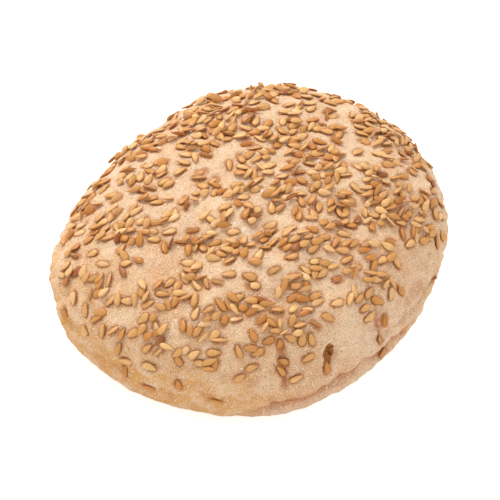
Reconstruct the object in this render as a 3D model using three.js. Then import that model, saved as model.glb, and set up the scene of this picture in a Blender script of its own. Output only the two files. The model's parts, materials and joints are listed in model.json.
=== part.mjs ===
// A hand-shaped oval bread roll with a sesame topping. The roll is one baked solid: a low dome with soft hollows
// in its top, a wall that turns under to a flat base, and a fold in the wall where the dough was tucked in.
// The sesame seeds that the solid model carries lie on the dome, each a solid of its own.
// Millimetres, +Z up, +X along the roll's long axis, the flat base at z = 0, the origin under the roll's middle.

import * as THREE from "three";
import { mergeVertices } from "three/addons/utils/BufferGeometryUtils.js";

// The roll's plain shape.
const HALF_LONG = 52;
const HALF_SHORT = 44;
const HEIGHT = 36;
const EQUATOR_HEIGHT = 13;
const BASE_SHARE = 0.8;
const DOME_POWER = 2.4;
const WALL_POWER = 2.2;

// The outline isn't a true oval: each lobe swells it by a share of its radius, that many times around.
const LOBES = [
  { count: 1, share: 0.048, towards: -43 },
  { count: 3, share: 0.016, towards: 31 },
  { count: 4, share: 0.02, towards: 59 },
];

// Soft hollows, and swells of negative depth, in the crust: the middle in plan, the radius and the depth.
const HOLLOWS = [
  { x: -5, y: -12, radius: 5, depth: 1.3 },
  { x: -3, y: 6, radius: 6, depth: 0.8 },
  { x: -12, y: 12, radius: 6, depth: 1.0 },
  { x: -20, y: -1, radius: 7, depth: 0.9 },
  { x: -27, y: -9, radius: 5, depth: 0.8 },
  { x: 21, y: 6, radius: 7, depth: 1.1 },
  { x: 34, y: -5, radius: 6, depth: 0.9 },
  { x: 17, y: -18, radius: 7, depth: 1.2 },
  { x: 23, y: -31, radius: 5, depth: 0.8 },
  { x: -10, y: -33, radius: 6, depth: 0.9 },
  { x: -19, y: -26, radius: 5, depth: 0.7 },
  { x: 8, y: 28, radius: 8, depth: 1.0 },
  { x: -28, y: 22, radius: 7, depth: 0.8 },
  { x: -43, y: 17, radius: 9, depth: -1.0 },
  { x: -46, y: -8, radius: 9, depth: -0.8 },
  { x: -31, y: -17, radius: 6, depth: -0.7 },
  { x: -8, y: -3, radius: 5, depth: -0.6 },
  { x: -1, y: -22, radius: 6, depth: -0.8 },
  { x: 34, y: 18, radius: 8, depth: -0.7 },
];

// The fold in the wall: the heights of its line at some turns around the roll, in degrees, and the sizes of the crease,
// of the lip above it and of the swollen band below it.
const FOLD_LINE = [
  { turn: -136, height: 4 },
  { turn: -127, height: 9 },
  { turn: -121, height: 11.5 },
  { turn: -109, height: 13 },
  { turn: -95, height: 12 },
  { turn: -76, height: 10 },
  { turn: -50, height: 8 },
];
const FOLD = { width: 1.8, depth: 1.7, lip: 0.8, band: 0.8 };

// The crust mesh. Its rings crowd towards the equator, where the fold is.
const AROUND = 96;
const DOME_RINGS = 25;
const WALL_RINGS = 11;
const CROWDING = 1.35;
const RELIEF_FADE = 3;
const PROBE = 0.002;

// The sesame seeds.
const SEED_LENGTH = 3.4;
const SEED_WIDTH = 1.95;
const SEED_THICKNESS = 0.95;
const SEED_SIDES = 8;
const SEED_RINGS = 6;
const SEED_TAPER = 0.7;
const SEED_COUNT = 59;
const SEED_GAP = 0.3;
const SEEDED_SHARE = 0.93;
const GOLDEN_ANGLE = 137.508;
const SEED_TURN = 67;
const SEED_SIZES = [1, 0.92, 1.06, 0.96];

const rad = THREE.MathUtils.degToRad;

// How far the outline is from the roll's axis in one direction.
function outlineRadius(angle) {
  const oval = 1 / Math.hypot(Math.cos(angle) / HALF_LONG, Math.sin(angle) / HALF_SHORT);
  const swell = LOBES.reduce((sum, lobe) => sum + lobe.share * Math.cos(lobe.count * (angle - rad(lobe.towards))), 1);
  return oval * swell;
}

// A point of the plain shape. climb is -1 at the base's rim, 0 at the equator and 1 at the middle of the dome.
function plainPoint(angle, climb) {
  const slope = (Math.abs(climb) * Math.PI) / 2;
  const power = 2 / (climb < 0 ? WALL_POWER : DOME_POWER);
  const across = Math.max(0, Math.cos(slope)) ** power;
  const along = Math.sin(slope) ** power;
  const share = climb < 0 ? BASE_SHARE + (1 - BASE_SHARE) * across : across;
  const height = climb < 0 ? EQUATOR_HEIGHT * (1 - along) : EQUATOR_HEIGHT + (HEIGHT - EQUATOR_HEIGHT) * along;
  const radius = outlineRadius(angle) * share;
  return new THREE.Vector3(radius * Math.cos(angle), radius * Math.sin(angle), height);
}

// The outward normal of a surface given as a function of angle and climb.
function normalOf(surface, angle, climb) {
  const low = Math.max(-1, climb - PROBE);
  const high = Math.min(1 - PROBE, climb + PROBE);
  const around = surface(angle + PROBE, climb).sub(surface(angle - PROBE, climb));
  const upward = surface(angle, high).sub(surface(angle, low));
  return around.cross(upward).normalize();
}

const bump = (distance, width) => Math.exp(-((distance / width) ** 2));

const foldStart = FOLD_LINE[0].turn;
const foldLength = FOLD_LINE.at(-1).turn - foldStart;
const foldHeights = new THREE.CubicInterpolant(
  FOLD_LINE.map((p) => p.turn),
  FOLD_LINE.map((p) => p.height),
  1,
);

// How far the fold moves a point of the wall outwards.
function foldRelief(point, angle) {
  const along = THREE.MathUtils.euclideanModulo(THREE.MathUtils.radToDeg(angle) - foldStart, 360);
  if (along > foldLength) return 0;
  const strength = Math.sqrt(Math.sin((Math.PI * along) / foldLength));
  const above = point.z - foldHeights.evaluate(foldStart + along)[0];
  const crease = -FOLD.depth * bump(above, FOLD.width);
  const lip = FOLD.lip * bump(above - 2 * FOLD.width, FOLD.width);
  const band = FOLD.band * bump(above + 2.4 * FOLD.width, 1.6 * FOLD.width);
  return strength * (crease + lip + band);
}

// A point of the crust, with its hollows, swells and fold.
function crustPoint(angle, climb) {
  const point = plainPoint(angle, climb);
  if (climb >= 1) return point;
  let relief = foldRelief(point, angle);
  if (climb > 0) {
    const weight = Math.min(1, 4 * climb);
    for (const h of HOLLOWS) relief -= weight * h.depth * bump(Math.hypot(point.x - h.x, point.y - h.y), h.radius);
  }
  relief *= Math.min(1, point.z / RELIEF_FADE);
  return point.addScaledVector(normalOf(plainPoint, angle, climb), relief);
}

// The crust as rings of points, from the middle of the base, out, up the wall and over the dome to its middle.
function crustGeometry() {
  const rim = Array.from({ length: AROUND }, (_, i) => crustPoint((2 * Math.PI * i) / AROUND, -1));
  const rings = [rim];
  const climbs = [];
  for (let k = WALL_RINGS - 1; k > 0; k--) climbs.push(-((k / WALL_RINGS) ** CROWDING));
  for (let k = 0; k < DOME_RINGS; k++) climbs.push((k / DOME_RINGS) ** CROWDING);
  for (const climb of climbs)
    rings.push(Array.from({ length: AROUND }, (_, i) => crustPoint((2 * Math.PI * i) / AROUND, climb)));
  const points = [new THREE.Vector3(0, 0, 0), ...rings.flat(), domeMiddle(rings.at(-1))];
  const last = points.length - 1;
  const index = [];
  for (let i = 0; i < AROUND; i++) {
    const next = (i + 1) % AROUND;
    index.push(0, 1 + next, 1 + i);
    for (let k = 0; k < rings.length - 1; k++) {
      const low = 1 + k * AROUND;
      const high = low + AROUND;
      index.push(low + i, low + next, high + next);
      index.push(low + i, high + next, high + i);
    }
    const top = last - AROUND;
    index.push(top + i, top + next, last);
  }
  const geometry = new THREE.BufferGeometry().setFromPoints(points);
  geometry.setIndex(index);
  geometry.computeVertexNormals();
  return geometry;
}

// The dome's middle lies level with the mean of the ring round it.
function domeMiddle(ring) {
  const mean = ring.reduce((sum, p) => sum.add(p), new THREE.Vector3()).divideScalar(ring.length);
  return new THREE.Vector3(0, 0, mean.z);
}

// A sesame seed: a flattened teardrop, +Y from its blunt end to its tip, its flat sides across Z.
function seedGeometry(size) {
  const profile = [];
  for (let k = 0; k <= SEED_RINGS; k++) {
    const share = k / SEED_RINGS;
    const girth = k % SEED_RINGS === 0 ? 0 : Math.sin(Math.PI * share ** SEED_TAPER) ** 0.8;
    profile.push(new THREE.Vector2((girth * SEED_WIDTH) / 2, (share - 0.5) * SEED_LENGTH));
  }
  const round = new THREE.LatheGeometry(profile, SEED_SIDES);
  round.deleteAttribute("normal");
  round.deleteAttribute("uv");
  const seed = mergeVertices(round, 1e-4);
  seed.scale(size, size, (size * SEED_THICKNESS) / SEED_WIDTH);
  seed.computeVertexNormals();
  return seed;
}

// Lays one seed flat on the dome, at a share of the outline's radius and turned about its own normal.
function placeSeed(mesh, angle, share, turn, size) {
  const climb = Math.acos(share ** (DOME_POWER / 2)) / (Math.PI / 2);
  const normal = normalOf(crustPoint, angle, climb);
  const across = new THREE.Vector3(-Math.sin(angle), Math.cos(angle), 0).applyAxisAngle(normal, turn);
  const along = normal.clone().cross(across).normalize();
  const side = along.clone().cross(normal);
  mesh.setRotationFromMatrix(new THREE.Matrix4().makeBasis(side, along, normal));
  mesh.position.copy(crustPoint(angle, climb));
  mesh.position.addScaledVector(normal, SEED_GAP + (size * SEED_THICKNESS) / 2);
}

const crustMaterial = new THREE.MeshStandardMaterial({ color: 0xe4c1a0, roughness: 0.85, metalness: 0 });
const sesameMaterial = new THREE.MeshStandardMaterial({ color: 0xcf9a62, roughness: 0.5, metalness: 0 });

const roll = new THREE.Group();

const crust = new THREE.Mesh(crustGeometry(), crustMaterial);
crust.name = "bread_roll";
roll.add(crust);

for (let i = 0; i < SEED_COUNT; i++) {
  const size = SEED_SIZES[i % SEED_SIZES.length];
  const seed = new THREE.Mesh(seedGeometry(size), sesameMaterial);
  seed.name = "sesame_seed_" + String(i + 1).padStart(2, "0");
  const share = SEEDED_SHARE * Math.sqrt((i + 0.5) / SEED_COUNT);
  placeSeed(seed, rad(i * GOLDEN_ANGLE), share, rad(i * SEED_TURN), size);
  roll.add(seed);
}

// The origin goes under the middle of the whole roll's box.
const middle = new THREE.Box3().setFromObject(roll, true).getCenter(new THREE.Vector3());
roll.position.set(-middle.x, -middle.y, 0);

export default roll;
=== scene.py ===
"""Looks of a seeded bread roll: the crust, the sesame topping and a plain studio.

Metres, +Z up, +X along the roll's long axis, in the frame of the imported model. Sizes in the classes below
are in metres, written as millimetres times MM, unless a docstring says millimetres. The crust replaces the
node bread_roll. The seeds replace the sesame_seed nodes, each of which keeps its place in the topping.
"""

from __future__ import annotations

import json
import logging
import math
from dataclasses import dataclass, field
from enum import IntEnum
from typing import Iterable, Sequence

import bmesh
import bpy
import numpy as np
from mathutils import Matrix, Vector, noise
from mathutils.bvhtree import BVHTree
from mathutils.kdtree import KDTree

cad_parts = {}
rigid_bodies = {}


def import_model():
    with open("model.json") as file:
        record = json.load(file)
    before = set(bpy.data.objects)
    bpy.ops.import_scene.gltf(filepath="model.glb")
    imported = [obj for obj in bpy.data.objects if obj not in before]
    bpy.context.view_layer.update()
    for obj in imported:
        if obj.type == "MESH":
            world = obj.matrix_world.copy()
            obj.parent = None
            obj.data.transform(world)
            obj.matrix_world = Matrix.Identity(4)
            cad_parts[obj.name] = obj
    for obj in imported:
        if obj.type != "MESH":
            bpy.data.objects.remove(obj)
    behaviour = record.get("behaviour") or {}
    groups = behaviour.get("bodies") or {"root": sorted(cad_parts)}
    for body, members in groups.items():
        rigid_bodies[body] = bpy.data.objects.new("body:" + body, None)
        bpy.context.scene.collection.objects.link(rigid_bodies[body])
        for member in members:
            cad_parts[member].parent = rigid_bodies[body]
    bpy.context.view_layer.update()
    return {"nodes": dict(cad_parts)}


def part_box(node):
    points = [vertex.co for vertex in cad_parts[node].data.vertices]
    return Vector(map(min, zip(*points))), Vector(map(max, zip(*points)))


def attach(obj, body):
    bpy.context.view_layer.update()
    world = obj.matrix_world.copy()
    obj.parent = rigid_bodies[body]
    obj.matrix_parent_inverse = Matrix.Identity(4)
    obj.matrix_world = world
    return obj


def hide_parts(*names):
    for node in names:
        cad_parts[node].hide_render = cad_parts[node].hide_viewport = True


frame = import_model()

LOG = logging.getLogger("bread_roll")
MM = 0.001
MM_PER_DEGREE = 0.75
BODY = "root"
Socket = bpy.types.NodeSocket


# ---------------------------------------------------------------- helpers


def shade(code: str) -> tuple[float, float, float, float]:
    """Turn a screen colour into a linear one.

    Args:
        code: six hexadecimal digits, red, green and blue.

    Returns:
        The linear red, green, blue and an alpha of 1.
    """
    channels = [int(code[i : i + 2], 16) / 255 for i in (0, 2, 4)]
    linear = [c / 12.92 if c <= 0.04045 else ((c + 0.055) / 1.055) ** 2.4 for c in channels]
    return (*linear, 1.0)


def smooth_step(value: np.ndarray, low: float, high: float) -> np.ndarray:
    """Rise smoothly from 0 at low to 1 at high.

    Args:
        value: the numbers to map.
        low: where the rise starts.
        high: where it ends.

    Returns:
        One number from 0 to 1 for each value.
    """
    t = np.clip((value - low) / (high - low), 0, 1)
    return t * t * (3 - 2 * t)


def bump(distance: np.ndarray, width: float) -> np.ndarray:
    """A round bump, 1 at no distance and close to 0 past twice the width."""
    return np.exp(-((distance / width) ** 2))


def fractal(points: np.ndarray, size: float, octaves: int, offset: float) -> np.ndarray:
    """Sample fractal noise at points.

    Args:
        points: one row of x, y, z for each point.
        size: the size of the largest lumps.
        octaves: how many finer layers are added.
        offset: shifts the pattern, so that each use differs.

    Returns:
        One number for each point, roughly from -1 to 1.
    """
    places = (points / size + offset).tolist()
    return np.array([noise.fractal(p, 1.0, 2.1, octaves) for p in places])


def unit(vectors: np.ndarray) -> np.ndarray:
    """Scale each row to a length of 1."""
    return vectors / np.maximum(np.linalg.norm(vectors, axis=-1, keepdims=True), 1e-12)


def read_points(mesh: bpy.types.Mesh) -> np.ndarray:
    """Read where a mesh's vertices are.

    Args:
        mesh: the mesh.

    Returns:
        One row of x, y, z for each vertex.
    """
    found = np.empty(len(mesh.vertices) * 3)
    mesh.vertices.foreach_get("co", found)
    return found.reshape(-1, 3)


def read_normals(mesh: bpy.types.Mesh) -> np.ndarray:
    """Read a mesh's vertex normals.

    Args:
        mesh: the mesh.

    Returns:
        One row of x, y, z for each vertex.
    """
    found = np.empty(len(mesh.vertices) * 3)
    mesh.vertices.foreach_get("normal", found)
    return found.reshape(-1, 3)


def write_points(mesh: bpy.types.Mesh, points: np.ndarray) -> None:
    """Move the mesh's vertices."""
    mesh.vertices.foreach_set("co", points.ravel())
    mesh.update()


def write_values(mesh: bpy.types.Mesh, name: str, values: np.ndarray, kind: str = "FLOAT") -> None:
    """Store one value for each vertex under a name.

    Args:
        mesh: where the values go.
        name: the attribute's name.
        values: one number or row for each vertex.
        kind: FLOAT, INT or FLOAT_VECTOR.
    """
    attribute = mesh.attributes.new(name, kind, "POINT")
    attribute.data.foreach_set("vector" if kind == "FLOAT_VECTOR" else "value", np.ravel(values))


def new_object(name: str, mesh: bpy.types.Mesh) -> bpy.types.Object:
    """Put a mesh into the scene.

    Args:
        name: the new object's name.
        mesh: what it shows.

    Returns:
        The object.
    """
    made = bpy.data.objects.new(name, mesh)
    bpy.context.scene.collection.objects.link(made)
    return made


def evaluated_mesh(source: bpy.types.Object) -> bpy.types.Mesh:
    """A plain mesh of what the object's modifiers make."""
    graph = bpy.context.evaluated_depsgraph_get()
    return bpy.data.meshes.new_from_object(source.evaluated_get(graph), depsgraph=graph)


def smooth_faces(mesh: bpy.types.Mesh) -> None:
    """Shade every face smooth."""
    mesh.polygons.foreach_set("use_smooth", [True] * len(mesh.polygons))
    mesh.update()


class Wiring:
    """Adds nodes to a node tree and links them."""

    def __init__(self, tree: bpy.types.NodeTree) -> None:
        """Keep the tree that the nodes go into."""
        self.tree = tree

    def add(self, kind: str, inputs: dict | None = None, **settings: object) -> bpy.types.Node:
        """Add one node.

        Args:
            kind: the node's type name.
            inputs: a value or a socket for each input, by the input's name or index.
            settings: the node's own properties.

        Returns:
            The node.
        """
        node = self.tree.nodes.new(kind)
        for name, value in settings.items():
            setattr(node, name, value)
        for name, value in (inputs or {}).items():
            self.feed(node.inputs[name], value)
        return node

    def feed(self, target: Socket, value: object) -> None:
        """Link a socket to the target, or set a plain value on it.

        Args:
            target: the input to feed.
            value: a socket, a plain value, or None to leave the input alone.
        """
        if isinstance(value, bpy.types.NodeSocket):
            self.tree.links.new(value, target)
        elif value is not None:
            target.default_value = value

    def math(self, operation: str, a: object, b: object = None, c: object = None) -> Socket:
        """The result of one math operation."""
        values = {i: v for i, v in enumerate((a, b, c)) if v is not None}
        return self.add("ShaderNodeMath", values, operation=operation).outputs[0]

    def mix(self, factor: object, a: object, b: object, blend: str = "MIX") -> Socket:
        """Blend colour b over colour a by the factor.

        Args:
            factor: how much of b shows.
            a: the colour below.
            b: the colour above.
            blend: the blend mode.

        Returns:
            The blended colour.
        """
        node = self.add("ShaderNodeMix", {0: factor, 6: a, 7: b}, data_type="RGBA", blend_type=blend)
        return node.outputs[2]

    def stain(self, colour: object, mask: object, code: str, weight: object = None) -> Socket:
        """Lay a screen colour over another.

        Args:
            colour: the colour below.
            mask: where the stain shows, from 0 to 1.
            code: the stain's colour, as shade takes it.
            weight: how strong the stain is at most.

        Returns:
            The stained colour.
        """
        factor = mask if weight is None else self.math("MULTIPLY", mask, weight)
        return self.mix(factor, colour, shade(code))

    def ranged(self, value: object, low: float, high: float, to_low: float = 0, to_high: float = 1) -> Socket:
        """Map a value from one range to another, smoothly and within its ends.

        Args:
            value: the value to map.
            low: where the range starts.
            high: where it ends.
            to_low: the result at its start.
            to_high: the result at its end.

        Returns:
            The mapped value.
        """
        node = self.add(
            "ShaderNodeMapRange",
            {0: value, 1: low, 2: high, 3: to_low, 4: to_high},
            interpolation_type="SMOOTHSTEP",
        )
        return node.outputs[0]

    def noise(self, where: Socket, size: float, detail: float = 3, roughness: float = 0.55) -> Socket:
        """Sample noise.

        Args:
            where: the place to sample it at.
            size: the size of its lumps.
            detail: how many finer layers are added.
            roughness: how strong those are.

        Returns:
            The noise, from 0 to 1.
        """
        node = self.add(
            "ShaderNodeTexNoise",
            {"Vector": where, "Scale": 1 / size, "Detail": detail, "Roughness": roughness},
        )
        return node.outputs["Fac"]

    def attribute(self, name: str) -> Socket:
        """The value of a named attribute of the mesh."""
        return self.add("ShaderNodeAttribute", attribute_name=name).outputs["Fac"]

    def group(self, tree: bpy.types.NodeTree, inputs: dict) -> bpy.types.NodeOutputs:
        """The outputs of a shared group with these inputs."""
        return self.add("ShaderNodeGroup", inputs, node_tree=tree).outputs


def new_material(name: str) -> tuple[bpy.types.Material, Wiring, bpy.types.Node]:
    """Start a material.

    Args:
        name: the material's name.

    Returns:
        The material, the wiring of its tree and its Principled shader.
    """
    made = bpy.data.materials.new(name)
    made.use_nodes = True
    tree = made.node_tree
    return made, Wiring(tree), tree.nodes["Principled BSDF"]


def set_values(shader: bpy.types.Node, values: dict[str, object]) -> None:
    """Set constants on a shader's own sockets."""
    for name, value in values.items():
        shader.inputs[name].default_value = value


# ---------------------------------------------------------------- shared shader groups


class SharedEffects:
    """Shader node groups that more than one finish uses, each built once."""

    def __init__(self) -> None:
        """Build the groups."""
        self.flour = self._flour()
        self.grain = self._grain()

    @staticmethod
    def _start(name: str, inputs: Iterable[tuple], outputs: Iterable[tuple]) -> tuple[Wiring, Socket, Socket]:
        """Make an empty group with its sockets.

        Args:
            name: the group's name.
            inputs: the name, socket type and default of each input.
            outputs: the name and socket type of each output.

        Returns:
            The group's wiring, its inputs and its outputs.
        """
        tree = bpy.data.node_groups.new(name, "ShaderNodeTree")
        for label, kind, default in inputs:
            socket = tree.interface.new_socket(label, in_out="INPUT", socket_type=kind)
            if default is not None:
                socket.default_value = default
        for label, kind in outputs:
            tree.interface.new_socket(label, in_out="OUTPUT", socket_type=kind)
        wires = Wiring(tree)
        return wires, wires.add("NodeGroupInput").outputs, wires.add("NodeGroupOutput").inputs

    def _flour(self) -> bpy.types.NodeTree:
        """Make the group for patches of dry flour, soft at their edges and grainy inside.

        Returns:
            The group, whose result is the flour's mask.
        """
        wires, given, result = self._start(
            "flour_dust",
            [
                ("Where", "NodeSocketVector", None),
                ("Patch Size", "NodeSocketFloat", 9 * MM),
                ("Amount", "NodeSocketFloat", 0.5),
            ],
            [("Mask", "NodeSocketFloat")],
        )
        scale = wires.math("DIVIDE", 1.0, given["Patch Size"])
        patch = wires.add(
            "ShaderNodeTexNoise",
            {"Vector": given["Where"], "Scale": scale, "Detail": 4, "Roughness": 0.6},
        ).outputs["Fac"]
        grains = wires.noise(given["Where"], 0.5 * MM, 2, 0.7)
        soft = wires.ranged(patch, 0.36, 0.66)
        dusted = wires.math("MULTIPLY", soft, wires.ranged(grains, 0.25, 0.7, 0.55, 1.0))
        wires.feed(result["Mask"], wires.math("MULTIPLY", dusted, given["Amount"]))
        return wires.tree

    def _grain(self) -> bpy.types.NodeTree:
        """Make the group for a fine dry grain.

        Returns:
            The group, whose results are a value for colour and a bumped normal.
        """
        wires, given, result = self._start(
            "dry_grain",
            [
                ("Where", "NodeSocketVector", None),
                ("Grain Size", "NodeSocketFloat", 0.5 * MM),
                ("Depth", "NodeSocketFloat", 0.06 * MM),
                ("Strength", "NodeSocketFloat", 0.5),
            ],
            [("Value", "NodeSocketFloat"), ("Normal", "NodeSocketVector")],
        )
        scale = wires.math("DIVIDE", 1.0, given["Grain Size"])
        fine = wires.add(
            "ShaderNodeTexNoise",
            {"Vector": given["Where"], "Scale": scale, "Detail": 1.5, "Roughness": 0.6},
        ).outputs["Fac"]
        coarse = wires.add(
            "ShaderNodeTexNoise",
            {"Vector": given["Where"], "Scale": wires.math("MULTIPLY", scale, 0.28), "Detail": 2},
        ).outputs["Fac"]
        height = wires.math("ADD", fine, wires.math("MULTIPLY", coarse, 0.9))
        normal = wires.add(
            "ShaderNodeBump",
            {"Strength": given["Strength"], "Distance": given["Depth"], "Height": height},
        )
        wires.feed(result["Value"], fine)
        wires.feed(result["Normal"], normal.outputs["Normal"])
        return wires.tree


# ---------------------------------------------------------------- finishes


@dataclass(frozen=True)
class CrustFinish:
    """The dry, floury skin of the roll, with shade painted around the seeds, in the fold, the slits and the
    wall's dips, and with painted glints.
    """

    top: str = "F2CFA8"
    pink: str = "E8BC9C"
    tan: str = "E4A75C"
    flour: str = "FBE4CC"
    chalk: str = "F0D2BE"
    # brown for painted shade around the seeds, under the fold, in the slits and in the wall's dips, and for
    # the browned patches
    hollow: str = "C87628"
    grit: str = "C68C56"
    # dark brown for the painted contact shadow right beside the seeds, and for the ring in the pit
    contact_shade_and_pit_brown: str = "B06A24"
    speck: str = "8A5530"
    burnt: str = "7C4612"
    # white for the clots of flour and for the painted glints
    flour_and_glint_white: str = "FFF4E4"
    roughness: float = 0.85
    grain_size: float = 0.32 * MM
    grain_depth: float = 0.55 * MM

    def build(self, effects: SharedEffects) -> bpy.types.Material:
        """Make the material.

        Args:
            effects: the shared shader groups.

        Returns:
            The crust's material.
        """
        material, wires, skin = new_material("baked_crust")
        where = wires.add("ShaderNodeTexCoord").outputs["Object"]
        colour = self._bake(wires, where, effects)
        colour = self._shade_hollows(wires, colour)
        grain = wires.group(
            effects.grain,
            {"Where": where, "Grain Size": self.grain_size, "Depth": self.grain_depth, "Strength": 1.0},
        )
        colour = self._speckle(wires, where, colour, grain["Value"])
        colour = self._darken_pit(wires, where, colour)
        wires.feed(skin.inputs["Base Color"], colour)
        wires.feed(skin.inputs["Normal"], grain["Normal"])
        set_values(
            skin,
            {
                "Roughness": self.roughness,
                "Specular IOR Level": 0.3,
                "Subsurface Weight": 0.1,
                "Subsurface Radius": (1.0, 0.55, 0.3),
                "Subsurface Scale": 1.2 * MM,
            },
        )
        return material

    def _bake(self, wires: Wiring, where: Socket, effects: SharedEffects) -> Socket:
        """The colour of the bread: pale, pinkish in places, tanned low on the wall, and dusted with flour.

        Args:
            wires: the material's wiring.
            where: the place on the roll.
            effects: the shared shader groups.

        Returns:
            The colour.
        """
        broad = wires.ranged(wires.noise(where, 7 * MM, 6, 0.65), 0.38, 0.66)
        colour = wires.stain(shade(self.top), broad, self.pink, 0.6)
        tanned = wires.attribute("tanned")
        uneven = wires.ranged(wires.noise(where, 4 * MM, 5), 0.34, 0.58)
        colour = wires.stain(colour, wires.math("MULTIPLY", tanned, uneven), self.tan, 0.95)
        flour = wires.group(effects.flour, {"Where": where, "Patch Size": 6 * MM, "Amount": 0.6})
        bare = wires.ranged(tanned, 0.2, 1.0, 1.0, 0.2)
        colour = wires.stain(colour, flour["Mask"], self.flour, bare)
        return wires.stain(colour, wires.attribute("floured"), self.chalk, 0.7)

    def _shade_hollows(self, wires: Wiring, colour: Socket) -> Socket:
        """Paint shade: darken the crust around the seeds, darker still right beside them, under the fold's
        lip, in the slits and in the wall's dips; the same brown also marks the browned patches.

        Args:
            wires: the material's wiring.
            colour: the colour so far.

        Returns:
            The shaded colour.
        """
        hollow = wires.attribute("hollow")
        # painted shade: the crust darkens around each seed, where its contact shadow falls
        colour = wires.stain(colour, hollow, self.hollow, 0.65)
        # painted shade under the fold's lip, in the slits and in the wall's dips, together with the browned
        # patches
        colour = wires.stain(colour, wires.attribute("folded"), self.hollow, 0.75)
        # painted contact shadow: a darker line right beside each seed
        return wires.stain(colour, wires.ranged(hollow, 0.25, 0.6, 0.0, 0.45), self.contact_shade_and_pit_brown)

    def _speckle(self, wires: Wiring, where: Socket, colour: Socket, grain: Socket) -> Socket:
        """Add dark grit, white grains, clots of flour, painted glints, which are painted highlights, and
        brown specks.

        Args:
            wires: the material's wiring.
            where: the place on the roll.
            colour: the colour so far.
            grain: the value of the grain.

        Returns:
            The speckled colour.
        """
        colour = wires.stain(colour, wires.ranged(grain, 0.52, 0.32, 0.0, 0.5), self.grit)
        colour = wires.stain(colour, wires.ranged(grain, 0.54, 0.68, 0.0, 0.7), self.flour)
        clot = wires.math("MULTIPLY", wires.attribute("clot"), grain)
        colour = wires.stain(colour, wires.ranged(clot, 0.2, 0.4), self.flour_and_glint_white)
        # painted highlights: tiny bright glints on the crust
        painted_glint = wires.ranged(wires.noise(where, 0.42 * MM, 1, 0.4), 0.67, 0.72)
        colour = wires.stain(colour, painted_glint, self.flour_and_glint_white, 0.9)
        specks = wires.ranged(wires.noise(where, 0.7 * MM, 1, 0.4), 0.73, 0.77)
        return wires.stain(colour, specks, self.speck, 0.8)

    def _darken_pit(self, wires: Wiring, where: Socket, colour: Socket) -> Socket:
        """Darken the pit in the wall, with a ragged edge and darker spots.

        Args:
            wires: the material's wiring.
            where: the place on the roll.
            colour: the colour so far.

        Returns:
            The darkened colour.
        """
        ragged = wires.ranged(wires.noise(where, 1.3 * MM, 2), 0.3, 0.7, 0.85, 1.15)
        pit = wires.math("MULTIPLY", wires.attribute("burnt"), ragged)
        colour = wires.stain(colour, wires.ranged(pit, 0.3, 0.46, 0.0, 0.9), self.contact_shade_and_pit_brown)
        dark_spots = wires.ranged(wires.noise(where, 0.8 * MM, 2, 0.6), 0.44, 0.6)
        return wires.stain(colour, wires.ranged(pit, 0.34, 0.55), self.burnt, dark_spots)


@dataclass(frozen=True)
class SesameFinish:
    """The satin hull of a toasted sesame seed, with shade painted at its edges."""

    pale: str = "E6BA7C"
    golden: str = "CA8E46"
    amber: str = "C67E2A"
    # the darker edge: partly the hull's amber margin, partly painted shade at the seed's edges
    rim: str = "924C0A"
    toasted: str = "945018"
    dust: str = "EEC799"
    roughness: float = 0.4

    def build(self, effects: SharedEffects) -> bpy.types.Material:
        """Make the material.

        Args:
            effects: the shared shader groups.

        Returns:
            The seeds' material.
        """
        material, wires, hull = new_material("toasted_sesame")
        where = wires.add("ShaderNodeTexCoord").outputs["Object"]
        toast = wires.attribute("toast")
        colour = wires.stain(shade(self.pale), wires.ranged(toast, 0.0, 0.5), self.golden)
        colour = wires.stain(colour, wires.ranged(toast, 0.45, 0.65), self.amber)
        streak = wires.ranged(wires.noise(where, 0.9 * MM, 3, 0.6), 0.35, 0.7, 0.0, 0.4)
        colour = wires.stain(colour, streak, self.golden)
        colour = wires.stain(colour, wires.ranged(toast, 0.65, 0.95), self.toasted)
        # darker edges: partly the hull's amber margin, partly painted shade
        colour = wires.stain(colour, wires.ranged(wires.attribute("rim"), 0.08, 1.0, 0.0, 0.95), self.rim)
        flour = wires.group(effects.flour, {"Where": where, "Patch Size": 5 * MM, "Amount": 0.14})
        veil = wires.math("MAXIMUM", flour["Mask"], wires.attribute("haze"))
        colour = wires.stain(colour, veil, self.dust)
        grain = wires.group(
            effects.grain,
            {"Where": where, "Grain Size": 0.4 * MM, "Depth": 0.03 * MM, "Strength": 0.35},
        )
        wires.feed(hull.inputs["Base Color"], colour)
        wires.feed(hull.inputs["Normal"], grain["Normal"])
        set_values(
            hull,
            {
                "Roughness": self.roughness,
                "Specular IOR Level": 0.55,
                "Subsurface Weight": 0.12,
                "Subsurface Radius": (1.0, 0.6, 0.3),
                "Subsurface Scale": 0.8 * MM,
            },
        )
        return material


# ---------------------------------------------------------------- crust


@dataclass(frozen=True)
class Patch:
    """A round place on the roll seen from above, in millimetres, and how strong its effect is."""

    x: float
    y: float
    radius: float
    depth: float = 1.0

    def weigh(self, points: np.ndarray) -> np.ndarray:
        """The effect at each point: the full depth in the middle, fading outwards."""
        away = np.hypot(points[:, 0] / MM - self.x, points[:, 1] / MM - self.y)
        return self.depth * bump(away, self.radius)


@dataclass(frozen=True)
class WallPatch:
    """A soft place on the wall, in degrees around the roll and in millimetres up, and how strong it is."""

    turn: float
    height: float
    spread: float
    rise: float
    strength: float

    def weigh(self, turn: np.ndarray, height: np.ndarray) -> np.ndarray:
        """The effect at points: the full strength in the middle, fading outwards."""
        return self.strength * bump(turn - self.turn, self.spread) * bump(height - self.height, self.rise)


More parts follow.
